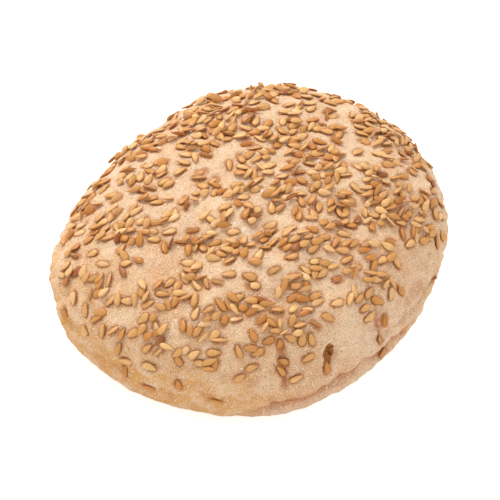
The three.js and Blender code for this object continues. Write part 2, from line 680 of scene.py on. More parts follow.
@dataclass(frozen=True)
class Crease:
    """A line pressed into the wall: heights, in millimetres, at some turns around the roll, in degrees."""

    turns: tuple[float, ...]
    heights: tuple[float, ...]
    strengths: tuple[float, ...]
    depth: float
    width: float

    def above(self, turn: np.ndarray, height: np.ndarray) -> tuple[np.ndarray, np.ndarray]:
        """Measure points against the line.

        Args:
            turn: the points' turns around the roll in degrees.
            height: their heights in millimetres.

        Returns:
            How far each is above the line in millimetres, and the line's strength beside it.
        """
        line = np.interp(turn, self.turns, self.heights)
        strength = np.interp(turn, self.turns, self.strengths, left=0, right=0)
        return height - line, strength


@dataclass(frozen=True)
class Slit:
    """An upright slit in the wall, in millimetres, at a turn around the roll in degrees.

    It runs from its low to its high end, and leans aside by a share of its height.
    """

    turn: float
    low: float
    high: float
    depth: float
    lean: float
    width: float = 0.8
    fade: float = 3.0

    def weigh(self, turn: np.ndarray, height: np.ndarray) -> np.ndarray:
        """Measure how near points are to the slit.

        Args:
            turn: the points' turns around the roll in degrees.
            height: their heights in millimetres.

        Returns:
            From 0 far from it to 1 in its middle.
        """
        aside = MM_PER_DEGREE * (turn - self.turn) - self.lean * (height - self.low)
        start = smooth_step(height, self.low, self.low + self.fade)
        end = smooth_step(height, self.high - self.fade, self.high)
        return bump(aside, self.width) * start * (1 - end)


@dataclass
class Crust:
    """The roll itself: crust and crumb in one piece.

    The fold, its lip, the wrinkles, the slits, the pit and the patches are in millimetres and degrees
    around the roll, and the rest is in metres.
    """

    same_point: float = 0.01 * MM
    voxel: float = 0.53 * MM
    smooth_share: float = 0.5
    smooth_rounds: int = 5
    base_snap: float = 0.3 * MM
    axis: tuple[float, float] = (-1.7 * MM, 2.2 * MM)
    lump_size: float = 10 * MM
    lump_height: float = 0.6 * MM
    ripple_size: float = 3.6 * MM
    ripple_height: float = 0.3 * MM
    grain_size: float = 1.5 * MM
    grain_height: float = 0.17 * MM
    wall_lump_size: float = 6 * MM
    wall_lump_height: float = 1.05 * MM
    wall_knob_size: float = 3 * MM
    wall_knob_height: float = 0.55 * MM
    wall_start: tuple[float, float] = (4 * MM, 12 * MM)
    wall_end: tuple[float, float] = (16 * MM, 26 * MM)
    base_fade: tuple[float, float] = (0.2 * MM, 6 * MM)
    topping_room: float = 0.55 * MM
    topping_start: tuple[float, float] = (14 * MM, 24 * MM)
    seat_width: float = 1.0 * MM
    seat_depth: float = 0.25 * MM
    collar_out: float = 1.5 * MM
    collar_width: float = 0.5 * MM
    collar_height: float = 0.16 * MM
    painted_shade_width: float = 1.25 * MM
    tan_end: tuple[float, float] = (8 * MM, 26 * MM)
    tan_side: tuple[float, float] = (18 * MM, 46 * MM)
    tan_aslant: float = 0.1
    tan_all_round: float = 0.05
    tan_high: float = 0.4
    dip_shade: float = 0.4
    dip_depth: float = 0.8 * MM
    fold: Crease = Crease(
        turns=(-137, -128, -121, -114, -103, -95, -76, -50),
        heights=(4, 9, 11.5, 12.5, 12.8, 12, 10, 8),
        strengths=(0, 0.4, 1.0, 1.15, 0.75, 0.35, 0.45, 0),
        depth=2.9,
        width=0.9,
    )
    fold_wander: float = 0.5
    fold_wander_size: float = 7
    lip_above: float = 1.5
    lip_out: float = 1.3
    lip_drop: float = 1.3
    lip_width: float = 1.7
    shade_below: float = 1.0
    shade_width: float = 2.2
    slit_shade: float = 0.95
    chalk_below: float = 5.5
    chalk_width: float = 3.5
    undercut: float = 2.6
    belly: WallPatch = WallPatch(turn=-130, height=4, spread=30, rise=4, strength=0.7)
    chalky: WallPatch = WallPatch(turn=-86, height=17, spread=16, rise=6, strength=0.7)
    wrinkles: Sequence[Crease] = (
        Crease(
            turns=(-93, -85, -77, -65, -56, -46),
            heights=(17.5, 16.5, 15, 14, 14, 15),
            strengths=(0, 0.8, 1, 1, 0.7, 0),
            depth=1.7,
            width=0.8,
        ),
        Crease((-78, -66, -55, -46), (18.5, 18, 18, 19), (0, 0.8, 1, 0), depth=0.9, width=0.65),
        Crease((-74, -62, -52, -44), (20.5, 20, 21, 22), (0, 1, 0.7, 0), depth=0.7, width=0.7),
        Crease((-141, -135, -128), (15, 13.5, 9), (0, 1, 0), depth=0.6, width=0.8),
    )
    slits: Sequence[Slit] = (
        Slit(turn=-121, low=14, high=27, depth=2.7, lean=0.03),
        Slit(turn=-87, low=13, high=25, depth=1.5, lean=0.25),
    )
    pit_turn: float = -105
    pit_height: float = 19.8
    pit_depth: float = 2.4
    pit_width: float = 1.5
    pit_squeeze: float = 0.66
    pit_lean: float = 0.2
    dents: Sequence[Patch] = (
        Patch(-6, -9, 4, 0.9),
        Patch(-1, 9, 5, 0.5),
        Patch(-17, 14, 5, 0.5),
        Patch(-25, -6, 5, 0.6),
        Patch(22, 3, 6, 0.6),
        Patch(15, -20, 5, 0.7),
        Patch(-20, -25, 5, 0.6),
    )
    # patches that are partly browned in baking and partly painted shade in dents
    browned_and_shaded: Sequence[Patch] = (
        Patch(-21, -27, 6, 0.5),
        Patch(18, -33, 6, 0.4),
        Patch(8, -20, 5, 0.4),
        Patch(-33, -1, 5, 0.3),
        Patch(-20, -39, 5, 0.3),
    )
    clots: Sequence[Patch] = (
        Patch(8, 35, 1.4),
        Patch(-6, 30, 1.3),
        Patch(-10, -7, 1.4, 0.8),
        Patch(1, -1, 1.4, 0.8),
        Patch(-11, -4, 1.2, 0.7),
        Patch(-27, 17, 1.3, 0.8),
        Patch(19, -3, 1.4, 0.8),
        Patch(-28, -31, 1.2, 0.7),
    )
    mesh: bpy.types.Mesh = field(init=False)

    def build(self) -> None:
        """Make the crust's mesh from the CAD solid, with its fold, lumps and ripples."""
        self.mesh = self._even_mesh()
        points, normals = read_points(self.mesh), read_normals(self.mesh)
        relief = self.lump_height * fractal(points, self.lump_size, 3, 11.3)
        relief += self.ripple_height * fractal(points, self.ripple_size, 3, 47.9)
        relief += self.grain_height * fractal(points, self.grain_size, 2, 83.1)
        relief += self._wall_relief(points)
        for dent in self.dents:
            relief -= MM * dent.weigh(points) * (normals[:, 2] > 0)
        relief -= self.topping_room * smooth_step(points[:, 2], *self.topping_start)
        relief *= smooth_step(points[:, 2], *self.base_fade)
        write_points(self.mesh, points + normals * relief[:, None])

    def _wall_relief(self, points: np.ndarray) -> np.ndarray:
        """Work out the wall's lumps and knobs.

        Args:
            points: places on the crust.

        Returns:
            How far out each place is moved.
        """
        height = points[:, 2]
        wall = smooth_step(height, *self.wall_start) * (1 - smooth_step(height, *self.wall_end))
        lumps = self.wall_lump_height * fractal(points, self.wall_lump_size, 3, 29.4)
        knobs = self.wall_knob_height * fractal(points, self.wall_knob_size, 1, 61.7)
        return wall * (lumps + knobs)

    def _pit(self, turn: np.ndarray, height: np.ndarray) -> np.ndarray:
        """Measure how near points are to the small burnt pit in the wall.

        Args:
            turn: the points' turns around the roll in degrees.
            height: their heights in millimetres.

        Returns:
            From 0 far from it to 1 in its middle.
        """
        up = height - self.pit_height
        aside = MM_PER_DEGREE * (turn - self.pit_turn) - self.pit_lean * up
        return bump(np.hypot(aside, self.pit_squeeze * up), self.pit_width)

    def around(self, points: np.ndarray) -> tuple[np.ndarray, np.ndarray, np.ndarray]:
        """Find where points are around the roll.

        Args:
            points: places on the crust.

        Returns:
            Their turns around the roll in degrees, their heights in millimetres and the level way out.
        """
        flat = points[:, :2] - self.axis
        turn = np.degrees(np.arctan2(flat[:, 1], flat[:, 0]))
        out = np.zeros_like(points)
        out[:, :2] = unit(flat)
        return turn, points[:, 2] / MM, out

    def _shape_wall(self, mesh: bpy.types.Mesh) -> None:
        """Press the fold with its overhanging lip, the wrinkles, the slits and the pit into the wall.

        Args:
            mesh: the roll before its faces are made even.
        """
        points = read_points(mesh)
        turn, height, out = self.around(points)
        above, strength = self.fold.above(turn, height)
        wander = self.fold_wander * fractal(points, self.fold_wander_size * MM, 2, 5.2)
        above = above - wander
        wide = self.undercut * self.fold.width
        under = np.where(above > 0, bump(above, self.fold.width), bump(above, wide))
        lip = bump(above - self.lip_above, self.lip_width)
        points += out * (MM * strength * (self.lip_out * lip - self.fold.depth * under))[:, None]
        points[:, 2] -= MM * strength * self.lip_drop * lip
        for crease in self.wrinkles:
            above, strength = crease.above(turn, height)
            press = crease.depth * strength * bump(above - wander, crease.width)
            points -= out * (MM * press)[:, None]
        points += out * (MM * self.belly.weigh(turn, height))[:, None]
        cut = self.pit_depth * self._pit(turn, height)
        for slit in self.slits:
            cut += slit.depth * slit.weigh(turn, height)
        points -= out * (MM * cut)[:, None]
        write_points(mesh, points)

    def _even_mesh(self) -> bpy.types.Mesh:
        """Smooth the facets of the CAD solid, shape its wall and give it even small faces all over.

        Returns:
            The mesh.
        """
        node = frame["nodes"]["bread_roll"]
        work = bmesh.new()
        work.from_mesh(node.data)
        bmesh.ops.remove_doubles(work, verts=work.verts, dist=self.same_point)
        mesh = bpy.data.meshes.new("crust_work")
        work.to_mesh(mesh)
        work.free()
        holder = new_object("crust_work", mesh)
        rounder = holder.modifiers.new("round", "SUBSURF")
        rounder.levels = rounder.render_levels = 2
        holder.data = evaluated_mesh(holder)
        holder.modifiers.remove(rounder)
        self._shape_wall(holder.data)
        remesh = holder.modifiers.new("even", "REMESH")
        remesh.mode = "VOXEL"
        remesh.voxel_size = self.voxel
        smoother = holder.modifiers.new("smooth", "SMOOTH")
        smoother.factor = self.smooth_share
        smoother.iterations = self.smooth_rounds
        made = evaluated_mesh(holder)
        bpy.data.objects.remove(holder)
        points = read_points(made)
        points[points[:, 2] < self.base_snap, 2] = 0
        write_points(made, points)
        return made

    def press(self, seeds: Placements) -> None:
        """Seat the seeds: a shallow bed under each, with a low collar of crust around it, and store where
        shade is painted around each seed.

        Args:
            seeds: where the seeds lie.
        """
        points, normals = read_points(self.mesh), read_normals(self.mesh)
        spine, weight = seeds.spines()
        tree = KDTree(len(spine))
        for i, place in enumerate(spine):
            tree.insert(place, i)
        tree.balance()
        near = np.full(len(points), 1.0)
        share = np.zeros(len(points))
        for i, place in enumerate(points):
            _, found, away = tree.find(place)
            near[i] = away
            share[i] = weight[found]
        bed = self.seat_depth * bump(near, self.seat_width)
        collar = self.collar_height * bump(near - self.collar_out, self.collar_width)
        write_points(self.mesh, points + normals * ((collar - bed) * share)[:, None])
        # painted shade: how strongly the crust is darkened around each seed, where its contact shadow falls
        write_values(self.mesh, "hollow", bump(near, self.painted_shade_width) * share)

    def _paint(self) -> None:
        """Store where the crust is tanned, where shade is painted under the fold, in the slits and in the
        wall's dips, where it is browned, floured and clotted with flour, and where the pit is darker.
        """
        points = read_points(self.mesh)
        low = 1 - smooth_step(points[:, 2], *self.tan_end)
        side = smooth_step(-points[:, 0] - self.tan_aslant * points[:, 1], *self.tan_side)
        tanned = low * (self.tan_all_round + (1 - self.tan_all_round) * side) + self.tan_high * side
        write_values(self.mesh, "tanned", np.clip(tanned, 0, 1))
        turn, height, _ = self.around(points)
        above, strength = self.fold.above(turn, height)
        # painted shade: darker under the fold's lip, in the slits and in the dips between the wall's lumps
        shaded = strength * bump(above + self.shade_below, self.shade_width)
        for slit in self.slits:
            shaded += self.slit_shade * slit.weigh(turn, height)
        # browned patches: partly browning, partly painted shade in dents
        shaded += sum(patch.weigh(points) for patch in self.browned_and_shaded)
        shaded += self.dip_shade * np.clip(-self._wall_relief(points) / self.dip_depth, 0, 1)
        write_values(self.mesh, "folded", np.clip(shaded, 0, 1))
        chalky = strength * bump(above + self.chalk_below, self.chalk_width)
        chalky += self.chalky.weigh(turn, height)
        write_values(self.mesh, "floured", np.clip(chalky, 0, 1))
        write_values(self.mesh, "clot", sum(clot.weigh(points) for clot in self.clots))
        write_values(self.mesh, "burnt", self._pit(turn, height))

    def dress(self, material: bpy.types.Material) -> bpy.types.Object:
        """Finish the crust.

        Args:
            material: the crust's material.

        Returns:
            The crust's object.
        """
        self._paint()
        smooth_faces(self.mesh)
        self.mesh.materials.clear()
        self.mesh.materials.append(material)
        crust = new_object("crust", self.mesh)
        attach(crust, BODY)
        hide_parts("bread_roll")
        LOG.info("crust: %d faces", len(self.mesh.polygons))
        return crust


# ---------------------------------------------------------------- topping


class SeedKind(IntEnum):
    """The forms that a seed on the roll has."""

    PLUMP = 0
    SLENDER = 1
    BROAD = 2
    BENT = 3
    BROKEN = 4


@dataclass(frozen=True)
class SeedForm:
    """The shape of one kind of sesame seed: a flattened teardrop from its blunt end to its tip."""

    kind: SeedKind
    length: float = 3.7 * MM
    width: float = 1.95 * MM
    thickness: float = 0.95 * MM
    taper: float = 0.71
    bend: float = 0.0
    kept: float = 1.0
    rings: int = 6
    girth_power: float = 0.92
    height_power: float = 0.6
    rim_power: float = 5
    blunt_rim: float = 0.4
    tip_rim: float = 0.7
    section: tuple[tuple[float, float], ...] = (
        (1.0, 0.0),
        (0.88, 0.36),
        (0.46, 0.8),
        (-0.46, 0.8),
        (-0.88, 0.36),
        (-1.0, 0.0),
        (-0.6, -0.5),
        (0.0, -0.7),
        (0.6, -0.5),
    )

    def build(self) -> bpy.types.Object:
        """Make the seed's template, lying flat with its tip towards +Y.

        Returns:
            An object with the seed's mesh.
        """
        across, height = np.array(self.section).T
        points = [self._spine(0.0)]
        rims = [self.blunt_rim]
        for ring in range(1, self.rings + 1):
            share = self.kept * ring / (self.rings + (self.kept == 1))
            girth = math.sin(math.pi * share**self.taper) ** self.girth_power
            middle = self._spine(share)
            x = middle[0] + 0.5 * self.width * girth * across
            z = 0.5 * self.thickness * girth**self.height_power * height
            points += [(a, middle[1], b) for a, b in zip(x, z)]
            # how near the edge each point is, for the darker edge colour, which is partly painted shade
            rims += (np.abs(across) ** self.rim_power).tolist()
        points.append(self._spine(self.kept))
        rims.append(self.tip_rim)
        mesh = bpy.data.meshes.new(f"seed_form_{int(self.kind)}")
        mesh.from_pydata(points, [], self._faces())
        write_values(mesh, "rim", np.array(rims))
        smooth_faces(mesh)
        return bpy.data.objects.new(mesh.name, mesh)

    def _spine(self, share: float) -> tuple[float, float, float]:
        """A point of the seed's middle line, at a share of its length from the blunt end."""
        return (self.bend * (2 * share - 1) ** 2, (share - 0.5) * self.length, 0.0)

    def _faces(self) -> list[tuple[int, ...]]:
        """List the faces between the rings, with a fan at each end.

        Returns:
            The points of each face, by their numbers.
        """
        n = len(self.section)
        last = 1 + self.rings * n
        faces: list[tuple[int, ...]] = []
        for i in range(n):
            after = (i + 1) % n
            faces.append((0, 1 + i, 1 + after))
            for k in range(self.rings - 1):
                low = 1 + k * n
                faces.append((low + i, low + n + i, low + n + after, low + after))
            top = last - n
            faces.append((top + i, last, top + after))
        return faces


@dataclass
class Placements:
    """Where the seeds lie, one row for each, in metres."""

    place: np.ndarray
    facing: np.ndarray
    heading: np.ndarray
    kind: np.ndarray
    size: np.ndarray
    toast: np.ndarray
    haze: np.ndarray
    lift: np.ndarray
    bed_reach: float = 0.9 * MM
    free_lift: float = 0.5 * MM

    def spines(self) -> tuple[np.ndarray, np.ndarray]:
        """Lay points along the middle of each seed.

        Returns:
            The points, and how firmly the seed beds into the crust at each.
        """
        steps = (-self.bed_reach, 0.0, self.bed_reach)
        points = np.concatenate([self.place + step * self.heading for step in steps])
        firm = np.clip(1 - self.lift / self.free_lift, 0, 1)
        return points, np.tile(firm, len(steps))


@dataclass(frozen=True)
class Stray:
    """A seed with a place of its own, in millimetres.

    The toast is its colour, the lean is about its long axis in radians, the aim is where its tip points in
    degrees anticlockwise from uphill, and the sink is how much deeper than usual it sits, in millimetres.
    """

    x: float
    y: float
    z: float
    toast: float = 0.3
    lean: float = 0.0
    aim: float = 0.0
    sink: float = 0.0

    def heading(self, normal: np.ndarray) -> np.ndarray:
        """Turn the aim into a direction.

        Args:
            normal: the crust's normal where the seed lies.

        Returns:
            The way the seed's tip points.
        """
        uphill = unit(np.array((0, 0, 1.0)) - normal * normal[2])
        turn = math.radians(self.aim)
        return math.cos(turn) * uphill + math.sin(turn) * np.cross(normal, uphill)


@dataclass
class Topping:
    """The sesame on the roll.

    Leans are in radians, toasts and hazes run from 0 to 1, depths are in millimetres and the rest in metres.
    """

    crust: Crust
    count: int = 830
    least_gap: float = 1.2 * MM
    loose_gap: float = 2.2 * MM
    clump_size: float = 5.5 * MM
    clump_edge: float = 0.3
    between_clumps: float = 0.18
    within_clumps: float = 0.82
    density_power: float = 1.5
    tries: int = 30
    upward: tuple[float, float] = (0.15, 0.75)
    lowest: float = 17.5 * MM
    dense_from: float = 25 * MM
    seed: int = 5
    along_share: float = 0.8
    along_turn: float = -0.3
    along_spread: float = 0.5
    neighbour_reach: float = 3.9 * MM
    half_reach: float = 1.2 * MM
    elbow_room: float = 1.7 * MM
    least_overlap: float = 0.08
    overlap_rise: float = 0.85 * MM
    most_lift: float = 1.0 * MM
    most_slope: float = 0.5
    ride_share: float = 0.62
    nod: float = 0.1
    steep_share: float = 0.4
    level_from: tuple[float, float] = (0.5, 0.85)
    flat_lean: float = 0.16
    tilted_from: float = 0.58
    tilted_lean: tuple[float, float] = (0.3, 0.8)
    edgeways_from: float = 0.9
    edgeways_lean: tuple[float, float] = (1.0, 1.4)
    modelled_lean: float = 0.3
    toast_middle: float = 0.34
    toast_spread: float = 0.21
    toast_most: float = 0.75
    brown_share: float = 0.02
    dark_toast: float = 0.95
    sunk_share: float = 0.18
    sunk_depth: tuple[float, float] = (0.15, 0.4)
    usual_depth: tuple[float, float] = (-0.08, 0.12)
    sunk_haze: tuple[float, float] = (0.3, 0.6)
    usual_haze: tuple[float, float] = (0, 0.2)
    size_spread: float = 0.07
    forms: Sequence[SeedForm] = (
        SeedForm(SeedKind.PLUMP, thickness=1.15 * MM),
        SeedForm(SeedKind.SLENDER, length=3.95 * MM, width=1.65 * MM),
        SeedForm(SeedKind.BROAD, length=3.6 * MM, width=2.15 * MM, thickness=0.85 * MM),
        SeedForm(SeedKind.BENT, bend=0.25 * MM),
        SeedForm(SeedKind.BROKEN, kept=0.66),
    )
    shares: Sequence[float] = (0.3, 0.26, 0.16, 0.18, 0.1)
    bare: Sequence[Patch] = (
        Patch(-37, 11, 4.5),
        Patch(-31, -1, 5),
        Patch(-38, 2, 3),
        Patch(2, 14, 4),
        Patch(-6, 26, 3.5),
        Patch(-9, 21, 3),
        Patch(11, 37, 3.5),
        Patch(-37, 20, 3.5),
        Patch(-35, -12, 4),
        Patch(-29, -14, 4.5),
        Patch(-23, -16, 4),
        Patch(-30, -28, 4),
        Patch(30, 12, 3.5),
        Patch(5, -11, 2.5),
        Patch(-7, 1, 2.5),
        Patch(-8, -8, 2.5),
        Patch(10, -25, 3),
        Patch(-6, -42, 7),
        Patch(20, -40, 8),
        Patch(-48, 11, 7, 0.75),
        Patch(-49, -4, 7, 0.5),
        Patch(-13, -39, 5.5),
        Patch(12, 36, 3.5),
        Patch(2, 32, 3),
        Patch(-22, 29, 3.5),
        Patch(-17, 33, 3.5),
        Patch(-12, 12, 3),
        Patch(-20, 14, 2.5),
        Patch(-4, 16, 3),
        Patch(-24, -37, 2.5),
        Patch(-20, -39, 3.5),
        Patch(-28, -34, 3),
        Patch(-3, -43, 5),
    )
    strays: Sequence[Stray] = (
        Stray(-36, 7, 31, 0.25, 0.2, -40),
        Stray(-34, 5, 32, 0.75, 0.3, 160),
        Stray(-38, 6, 30, 0.9, 0, 100),
        Stray(-35, 9, 31, 0.3, 0, 60),
        Stray(-39, -28, 12, 0.3, -0.8, 85, -0.35),
        Stray(-31, -32, 22, 0.3, 0.3, -70),
        Stray(-34, -31, 20, 0.3, 0, -75),
        Stray(-25, -37, 21, 0.35, 0.2, 5),
        Stray(-23, -39, 18, 0.15, 0, -55),
        Stray(-19, -39, 22, 0.3, 0, 95),
        Stray(-18, -36, 26, 0.3, 0, -20),
        Stray(-16, -37, 25, 0.3, 0, -10),
        Stray(-36, -24, 25, 0.3, 0, -80),
        Stray(-15.4, -41.6, 17.6, 0.64, 0, -30),
        Stray(3.6, -42, 20, 0.62, 0.5, 0),
        Stray(1.4, -43.6, 16, 0.5, 0, 30, 0.2),
        Stray(3, -43, 9, 0.62, 0.4, 70, 0.2),
        Stray(12, -41, 9, 0.7, 0.4, 70, 0.3),
        Stray(19, -39, 10, 0.8, 0.3, 90, 0.3),
        Stray(25, -38, 14, 0.8, 0.3, 60, 0.1),
        Stray(-44, -20, 16, 0.62, -0.3, 10, 0.1),
        Stray(-47, -13, 12, 0.6, -0.7, 80, -0.2),
        Stray(-49, 8, 23, 0.3, 0, 20, 0.2),
        Stray(-42, -18, 22, 0.5, 0, 30, 0.15),
        Stray(-49, -7, 18, 0.15, 0, 85, 0.05),
        Stray(-49, -5, 20, 0.45, -0.4, 10, 0),
        Stray(-51, 6, 19, 0.1, -0.7, 10, -0.1),
        Stray(-50, -7, 14, 0.6, -0.5, 20, 0.05),
        Stray(-50, 14, 18, 0.62, -0.7, 10, 0),
        Stray(-48, -4, 24, 0.6, 0.3, 10, 0.2),
        Stray(-23, -34, 25, 0.64, 0, 5, 0.15),
        Stray(11, -22, 33, 0.62, 0, -60),
        Stray(40, -25, 21, 0.4, 0, -30),
        Stray(37, -28, 20, 0.2, 0, 40),
        Stray(35, -28, 23, 0.3, 0, -60),
        Stray(34, -31, 18, 0.3, 0.2, 10),
        Stray(31, -33, 20, 0.5, 0, -25),
        Stray(12, -39, 22, 0.64, 0.2, 10),
    )
    dark: Sequence[tuple[float, float]] = (
        (-33, 14),
        (-44, 16),
        (-43, -12),
        (15, -21),
        (8, -19),
        (29, -16),
        (43, -20),
    )

    def place(self) -> Placements:
        """Choose where the seeds lie.

        Returns:
            The seeds' places.
        """
        rng = np.random.default_rng(self.seed)
        tree = self._surface()
        modelled, headings = self._modelled_seeds()
        fixed = np.vstack([modelled, MM * np.array([(s.x, s.y, s.z) for s in self.strays])])
        taken = np.array([tree.find_nearest(middle)[0] for middle in fixed])
        spots = self._candidates(self.crust.mesh, rng)
        gaps = rng.uniform(self.least_gap, self.loose_gap, len(spots))
        for spot, gap in zip(spots, gaps):
            if np.min(np.sum((taken - spot) ** 2, axis=1)) < gap * gap:
                continue
            taken = np.vstack([taken, spot])
            if len(taken) == self.count:
                break
        normals = np.array([tree.find_nearest(spot)[1] for spot in taken])
        own = normals[len(headings) : len(headings) + len(self.strays)]
        headings = np.vstack([headings] + [stray.heading(normal) for stray, normal in zip(self.strays, own)])
        return self._lay(taken, normals, headings, rng)

    @staticmethod
    def _modelled_seeds() -> tuple[np.ndarray, np.ndarray]:
        """Find the seeds of the solid model, in the order of their names.

        Returns:
            The middle of each, and the way it points.
        """
        middles, headings = [], []
        for name in sorted(name for name in frame["nodes"] if name.startswith("sesame_seed")):
            points = read_points(frame["nodes"][name].data)
            low, high = (np.array(corner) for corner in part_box(name))
            middles.append((low + high) / 2)
            headings.append(np.linalg.svd(points - points.mean(axis=0), full_matrices=False)[2][0])
        return np.array(middles), np.array(headings)

    def _surface(self) -> BVHTree:
        """A tree of the crust's faces for looking up the nearest one."""
        mesh = self.crust.mesh
        return BVHTree.FromPolygons([v.co for v in mesh.vertices], [tuple(p.vertices) for p in mesh.polygons])

    def _candidates(self, mesh: bpy.types.Mesh, rng: np.random.Generator) -> np.ndarray:
        """Draw places on the crust, more of them where the topping is dense.

        Args:
            mesh: the crust.
            rng: the source of random numbers.

        Returns:
            The places.
        """
        count = len(mesh.polygons)
        centres, areas = np.empty(count * 3), np.empty(count)
        normals = np.empty(count * 3)
        mesh.polygons.foreach_get("center", centres)
        mesh.polygons.foreach_get("area", areas)
        mesh.polygons.foreach_get("normal", normals)
        centres, normals = centres.reshape(-1, 3), normals.reshape(-1, 3)
        odds = areas * self._density(centres, normals) ** self.density_power
        return centres[rng.choice(count, self.tries * self.count, p=odds / odds.sum())]

    def _density(self, points: np.ndarray, normals: np.ndarray) -> np.ndarray:
        """Choose how densely the seeds lie.

        Args:
            points: places on the crust.
            normals: the crust's normals there.

        Returns:
            From 0 where there are none to 1 where they are densest.
        """
        dense = smooth_step(points[:, 2], self.lowest, self.dense_from)
        dense *= smooth_step(normals[:, 2], *self.upward)
        clumps = fractal(points, self.clump_size, 2, 3.7)
        clumped = smooth_step(clumps, -self.clump_edge, self.clump_edge)
        dense *= self.between_clumps + self.within_clumps * clumped
        for patch in self.bare:
            dense *= 1 - patch.weigh(points)
        return np.clip(dense, 0, 1)

    def _lay(
        self, places: np.ndarray, normals: np.ndarray, fixed: np.ndarray, rng: np.random.Generator
    ) -> Placements:
        """Turn each seed to lie among those before it, lean some over, and raise those that overlap.

        Args:
            places: the middle of each seed on the crust.
            normals: the crust's normal there.
            fixed: the headings of the first seeds, which are the solid model's and the strays.
            rng: the source of random numbers.

        Returns:
            The seeds' places.
        """
        count = len(places)
        kinds = rng.choice(len(self.forms), count, p=np.array(self.shares) / sum(self.shares))
        wide = np.array([form.width for form in self.forms])[kinds]
        thick = np.array([form.thickness for form in self.forms])[kinds]
        modelled = len(fixed) - len(self.strays)
        rolls = self._rolls(count, modelled, rng)
        headings, facings, lifts = np.zeros((count, 3)), normals.copy(), np.zeros(count)
        level = self.steep_share + (1 - self.steep_share) * smooth_step(normals[:, 2], *self.level_from)
        for i in range(count):
            side = unit(np.array((1.0, 0, 0)) - normals[i] * normals[i][0])
            other = np.cross(normals[i], side)
            near = np.flatnonzero(np.linalg.norm(places[:i] - places[i], axis=1) < self.neighbour_reach)
            turns = rng.uniform(0, 2 * math.pi, 4)
            if rng.random() < self.along_share:
                turns = rng.normal(self.along_turn, self.along_spread, 3) + math.pi * rng.integers(0, 2, 3)
            ways = [math.cos(turn) * side + math.sin(turn) * other for turn in turns]
            if i < len(fixed):
                ways = [fixed[i]]
            gaps = [self._clearance(places[i], way, places[near], headings[near]) for way in ways]
            best = int(np.argmax([gap.min() if len(gap) else 1.0 for gap in gaps]))
            heading, over = ways[best], np.clip(1 - gaps[best] / self.elbow_room, 0, 1)
            facing = normals[i]
            if len(over) and over.max() > self.least_overlap:
                k = near[np.argmax(over)]
                lifts[i] = min(0.5 * lifts[k] + over.max() * self.overlap_rise, self.most_lift) * level[i]
                slope = min(lifts[i] / self.elbow_room, self.most_slope)
                facing = unit(facing - slope * unit(places[k] - places[i]))
            heading = unit(heading - facing * np.dot(heading, facing))
            heading = unit(heading + facing * rng.normal(0, self.nod))
            across = np.cross(facing, heading)
            roll = rolls[i] * (level[i] if i >= len(fixed) else 1)
            facings[i] = unit(math.cos(roll) * facing + math.sin(roll) * across)
            headings[i] = unit(heading - facings[i] * np.dot(heading, facings[i]))
        half = 0.5 * np.hypot(wide * np.sin(rolls), thick * np.cos(rolls))
        toast = self._toast(places, modelled, rng)
        deep = rng.random(count) < self.sunk_share
        depths = rng.uniform(*self.sunk_depth, count), rng.uniform(*self.usual_depth, count)
        sinks = MM * np.where(deep, *depths)
        sinks[modelled : len(fixed)] = [MM * stray.sink for stray in self.strays]
        haze = np.where(deep, rng.uniform(*self.sunk_haze, count), rng.uniform(*self.usual_haze, count))
        haze *= 1 - toast
        haze[: len(fixed)] = 0.5 * sinks[: len(fixed)].clip(0) / MM
        raised = places + normals * (lifts + self.ride_share * half - sinks)[:, None]
        sizes = rng.normal(1, self.size_spread, count)
        return Placements(raised, facings, headings, kinds, sizes, toast, haze, lifts)

    def _rolls(self, count: int, modelled: int, rng: np.random.Generator) -> np.ndarray:
        """Lean each seed over about its long axis: most lie flat and some stand on edge.

        Args:
            count: how many seeds there are.
            modelled: how many of them, the first ones, are the solid model's.
            rng: the source of random numbers.

        Returns:
            Each seed's lean in radians.
        """
        sign = rng.choice((-1, 1), count)
        pick = rng.random(count)
        rolls = rng.normal(0, self.flat_lean, count)
        rolls = np.where(pick > self.tilted_from, sign * rng.uniform(*self.tilted_lean, count), rolls)
        rolls = np.where(pick > self.edgeways_from, sign * rng.uniform(*self.edgeways_lean, count), rolls)
        rolls[:modelled] *= self.modelled_lean
        rolls[modelled : modelled + len(self.strays)] = [stray.lean for stray in self.strays]
        return rolls

    def _toast(self, places: np.ndarray, modelled: int, rng: np.random.Generator) -> np.ndarray:
        """Choose how dark each seed is.

        Args:
            places: the middle of each seed on the crust.
            modelled: how many of them, the first ones, are the solid model's.
            rng: the source of random numbers.

        Returns:
            From 0 for a pale seed to 1 for a brown one.
        """
        toast = rng.normal(self.toast_middle, self.toast_spread, len(places)).clip(0, self.toast_most)
        brown = rng.random(len(places)) < self.brown_share
        toast[brown] = rng.uniform(self.toast_most, 1.0, brown.sum())
        toast[modelled : modelled + len(self.strays)] = [stray.toast for stray in self.strays]
        for x, y in self.dark:
            away = np.hypot(places[:, 0] - x * MM, places[:, 1] - y * MM)
            toast[np.argmin(away)] = self.dark_toast
        return toast

    def _clearance(
        self, place: np.ndarray, heading: np.ndarray, others: np.ndarray, ways: np.ndarray
    ) -> np.ndarray:
        """Measure how close one seed comes to others.

        Args:
            place: the seed's middle.
            heading: the way it points.
            others: the middles of the others.
            ways: the ways they point.

        Returns:
            The least distance to each of the others between points along both seeds.
        """
        if len(others) == 0:
            return np.zeros(0)
        steps = np.array([-self.half_reach, 0, self.half_reach])
        mine = place + steps[:, None] * heading
        theirs = others[:, None, :] + steps[None, :, None] * ways[:, None, :]
        apart = np.linalg.norm(theirs[:, :, None, :] - mine[None, None], axis=-1)
        return apart.reshape(len(others), -1).min(axis=1)

